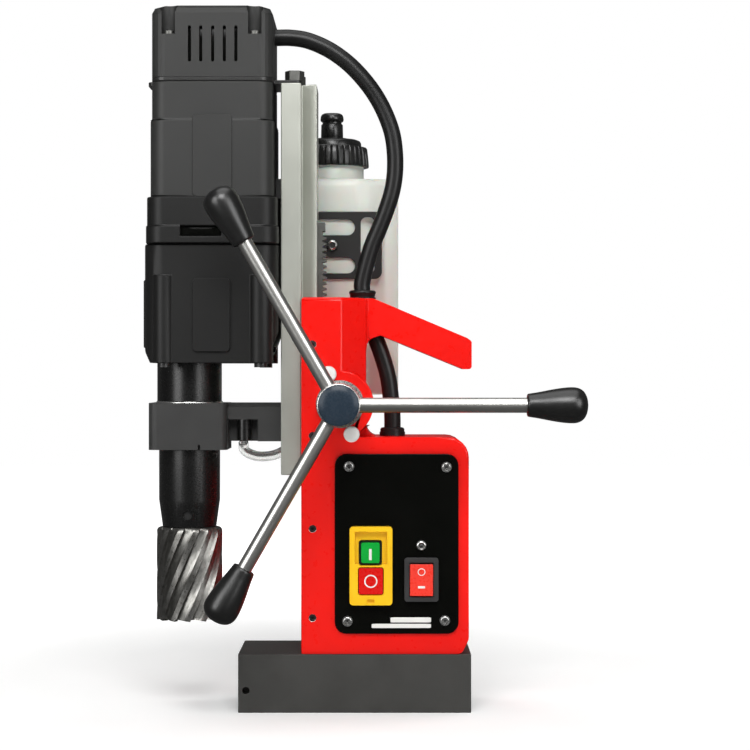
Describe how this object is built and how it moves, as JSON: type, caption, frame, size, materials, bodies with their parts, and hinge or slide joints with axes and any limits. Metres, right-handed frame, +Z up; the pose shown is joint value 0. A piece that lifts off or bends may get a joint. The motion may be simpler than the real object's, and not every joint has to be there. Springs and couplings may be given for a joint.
{
  "type": "magnetic drill press",
  "caption": "Magnetic drill press with a red column on a magnet base, a dovetail carriage with motor and annular cutter, three feed levers and a coolant bottle.",
  "frame": {"origin": "centre of the magnet base's underside", "axes": "+Z up along the column and the spindle, +X from the drill unit towards the carrying handle, -Y towards the control panel and the feed levers"},
  "size_m": [0.3025, 0.212, 0.486],
  "materials": {
    "magnet_steel": "satin black oxide",
    "core_steel": "ground",
    "coil_copper": "enamelled wire",
    "potting_resin": "matte",
    "screw_steel": "zinc plated",
    "red_paint": "gloss",
    "dark_steel": "black oxide",
    "black_steel": "satin",
    "panel_black": "gloss",
    "yellow_plastic": "gloss",
    "switch_black": "matte",
    "lamp_metal": "polished",
    "circuit_board": "satin",
    "black_rubber": "satin",
    "bronze": "machined",
    "polished_steel": "polished",
    "cap_plastic": "gloss",
    "knob_plastic": "high gloss",
    "ground_steel": "ground",
    "black_housing": "fine texture",
    "lamination_steel": "matte",
    "black_casting": "fine texture",
    "gear_steel": "machined",
    "spindle_steel": "satin",
    "cutter_steel": "ground",
    "bottle_plastic": "translucent",
    "cap_black": "satin",
    "clear_hose": "clear",
    "green_plastic": "gloss",
    "red_plastic": "gloss"
  },
  "bodies": {
    "frame": {"magnet_housing": "magnet_steel", "magnet_cores": "core_steel", "magnet_coils": "coil_copper", "magnet_potting": "potting_resin", "base_bolts": "screw_steel", "frame_casting": "red_paint", "gib_strip": "dark_steel", "gib_screws": "dark_steel", "rear_cover": "black_steel", "box_screws": "screw_steel", "control_panel": "panel_black", "switch_frame": "yellow_plastic", "switch_base": "switch_black", "rocker_bezel": "switch_black", "indicator_lamp": "lamp_metal", "control_board": "circuit_board", "conduit_gland": "black_rubber", "conduit_grommet": "black_rubber", "conduit_lower": "black_rubber", "conduit_upper": "black_rubber", "mains_gland": "black_rubber", "shaft_bushes": "bronze", "flange_screws": "screw_steel"},
    "feed_hub": {"pinion_shaft": "polished_steel", "feed_hub": "polished_steel", "hub_cap": "cap_plastic", "levers": "polished_steel", "knobs": "knob_plastic"},
    "carriage": {"slide": "ground_steel", "rack": "ground_steel", "carriage_screws": "screw_steel", "top_plate": "black_steel", "mount_block": "black_steel", "motor_end_cap": "black_housing", "cap_screws": "screw_steel", "brush_holders": "bronze", "motor_housing": "black_housing", "stator": "lamination_steel", "gear_head": "black_casting", "bearings": "ground_steel", "gearbox_casing": "black_casting", "gearbox_screws": "dark_steel", "quill": "black_casting", "collar_bracket": "black_casting", "collar_bolts": "dark_steel", "tank_bracket": "black_steel", "coolant_tank": "bottle_plastic", "tank_cap": "cap_black", "coolant_hose": "clear_hose"},
    "rotor": {"rotor": "lamination_steel"},
    "countershaft": {"countershaft": "gear_steel"},
    "spindle": {"spindle": "spindle_steel", "spindle_gear": "gear_steel", "cutter": "cutter_steel", "grub_screws": "dark_steel"},
    "pilot_pin": {"pilot_pin": "polished_steel"},
    "start_button": {"start_button": "green_plastic"},
    "stop_button": {"stop_button": "red_plastic"},
    "magnet_rocker": {"magnet_rocker": "red_plastic"},
    "tank_spout": {"tank_spout": "cap_black"}
  },
  "joints": [
    {"name": "carriage_slide", "type": "slide", "parent": "frame", "child": "carriage", "axis": [0, 0, 1], "range_m": [-0.115, 0.04], "deforming": ["conduit_upper"]},
    {"name": "feed_turn", "type": "hinge", "parent": "frame", "child": "feed_hub", "pos_m": [-0.01, 0, 0.2117], "axis": [0, 1, 0], "range_deg": [-590, 210]},
    {"name": "spindle_turn", "type": "hinge", "parent": "carriage", "child": "spindle", "pos_m": [-0.1165, 0, 0.15], "axis": [0, 0, 1], "continuous": true},
    {"name": "rotor_turn", "type": "hinge", "parent": "carriage", "child": "rotor", "pos_m": [-0.098, 0, 0.4], "axis": [0, 0, 1], "continuous": true},
    {"name": "countershaft_turn", "type": "hinge", "parent": "carriage", "child": "countershaft", "pos_m": [-0.08917, 0.01237, 0.28], "axis": [0, 0, 1], "continuous": true},
    {"name": "pilot_slide", "type": "slide", "parent": "spindle", "child": "pilot_pin", "axis": [0, 0, 1], "range_m": [0, 0.02], "stiffness_N_per_m": 60, "springref_m": -0.005},
    {"name": "start_push", "type": "slide", "parent": "frame", "child": "start_button", "axis": [0, 1, 0], "range_m": [0, 0.003], "stiffness_N_per_m": 400},
    {"name": "stop_push", "type": "slide", "parent": "frame", "child": "stop_button", "axis": [0, 1, 0], "range_m": [0, 0.003], "stiffness_N_per_m": 400},
    {"name": "magnet_switch", "type": "hinge", "parent": "frame", "child": "magnet_rocker", "pos_m": [0.0458, -0.038, 0.09155], "axis": [1, 0, 0], "range_deg": [-8, 0]},
    {"name": "spout_pull", "type": "slide", "parent": "carriage", "child": "tank_spout", "axis": [0, 0, 1], "range_m": [0, 0.005]}
  ],
  "couplings": [
    {"joint": "feed_turn", "follows": "carriage_slide", "rad_per_m": 88.889},
    {"joint": "rotor_turn", "follows": "spindle_turn", "ratio": 8.75},
    {"joint": "countershaft_turn", "follows": "spindle_turn", "ratio": -2.3333}
  ]
}
